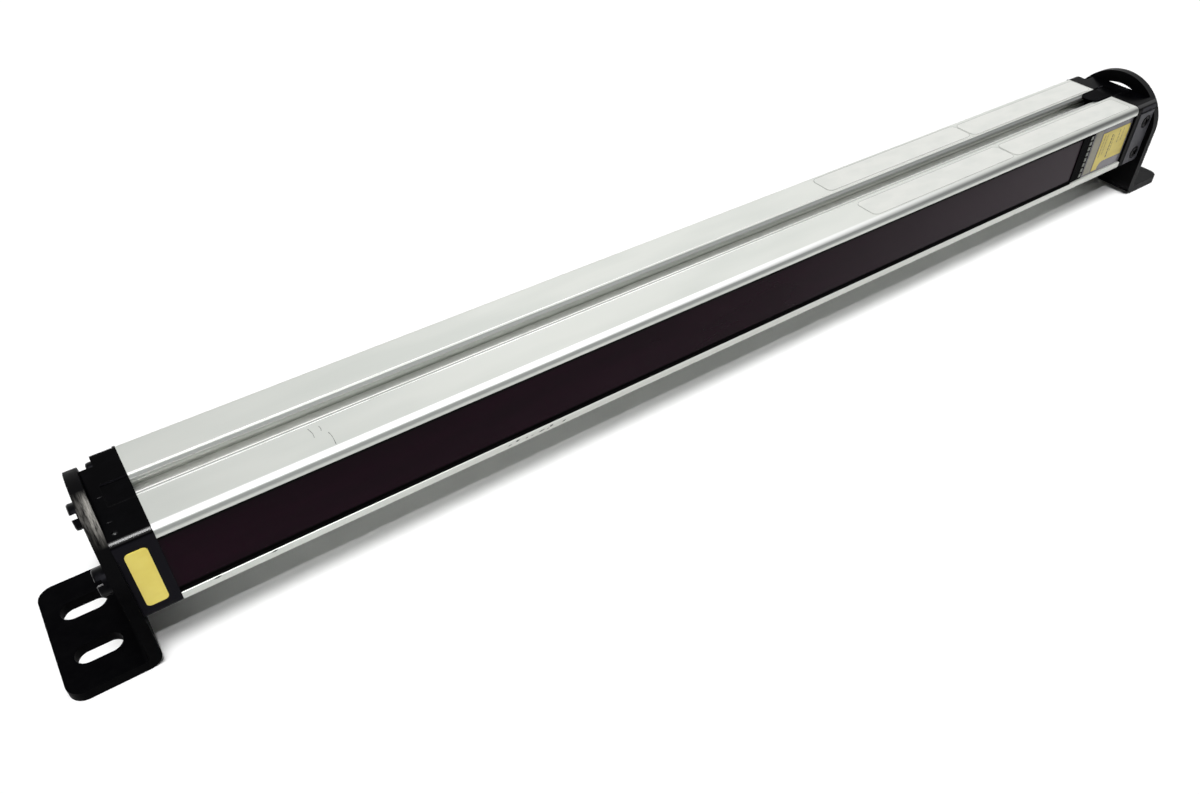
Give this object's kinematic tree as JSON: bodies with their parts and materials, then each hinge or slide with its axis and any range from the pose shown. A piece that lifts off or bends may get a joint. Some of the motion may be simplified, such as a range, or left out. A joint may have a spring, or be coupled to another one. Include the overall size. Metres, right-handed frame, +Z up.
{
  "type": "safety light curtain",
  "caption": "Bar-shaped safety light curtain in a T-slotted aluminium profile, with optical window, status window, end caps and two foot brackets.",
  "frame": {"origin": "centre of the bounding box at the underside of the feet", "axes": "+X along the bar towards the connector end, +Z up, the optical window looks towards -Y"},
  "size_m": [0.6014, 0.0508, 0.0634],
  "materials": {
    "satin_aluminium": "satin anodised, light scratches",
    "dark_red_acrylic": "glossy dark red, nearly black",
    "black_seal": "matte black rubber",
    "black_gloss_plastic": "glossy black moulding",
    "light_lens": "unlit clear lenses",
    "grey_clear_plastic": "greyish clear plastic",
    "pale_diffuser": "pale translucent strip",
    "yellow_card": "printed yellow card",
    "black_matte_plastic": "matte black moulding",
    "clear_acrylic": "clear moulded lenses",
    "diode_plastic": "dark epoxy",
    "green_board": "green circuit board",
    "nickel_steel": "nickel-plated posts",
    "chip_plastic": "black packages",
    "cap_plastic": "black moulding, gloss top, matte front",
    "black_steel": "black oxide steel",
    "charcoal_plastic": "matte charcoal moulding",
    "nickel_brass": "nickel-plated brass, threaded",
    "gold_pin": "gold-plated pins",
    "black_powder_coat": "black powder coat, worn rim",
    "yellow_badge": "bare yellow plate",
    "label_film": "bare off-white film"
  },
  "bodies": {
    "root": {"housing_extrusion": "satin_aluminium", "lens_window": "dark_red_acrylic", "lens_seal_upper": "black_seal", "lens_seal_lower": "black_seal", "window_divider": "black_gloss_plastic", "indicator_bezel": "black_gloss_plastic", "status_lights": "light_lens", "display_cover": "grey_clear_plastic", "light_diffuser": "pale_diffuser", "status_card": "yellow_card", "optic_carrier": "black_matte_plastic", "lens_array": "clear_acrylic", "receiver_diodes": "diode_plastic", "optics_board": "green_board", "board_spacers": "nickel_steel", "control_board": "green_board", "control_chips": "chip_plastic", "display_board": "green_board", "end_cap_left": "cap_plastic", "end_cap_right": "cap_plastic", "cap_gasket_left": "black_seal", "cap_gasket_right": "black_seal", "cap_screws_left": "black_steel", "cap_screws_right": "black_steel", "cap_cover_right": "charcoal_plastic", "cover_screws": "black_steel", "slot_tongue": "black_gloss_plastic", "connector_shell": "nickel_brass", "connector_insert": "black_matte_plastic", "connector_pins": "gold_pin", "mounting_bracket_left": "black_powder_coat", "mounting_bracket_right": "black_powder_coat", "bracket_screws_left": "black_steel", "bracket_screws_right": "black_steel", "badge_plate": "yellow_badge", "label_back_long": "label_film", "label_back_short": "label_film", "label_front_long": "label_film", "label_front_short": "label_film"}
  },
  "joints": []
}
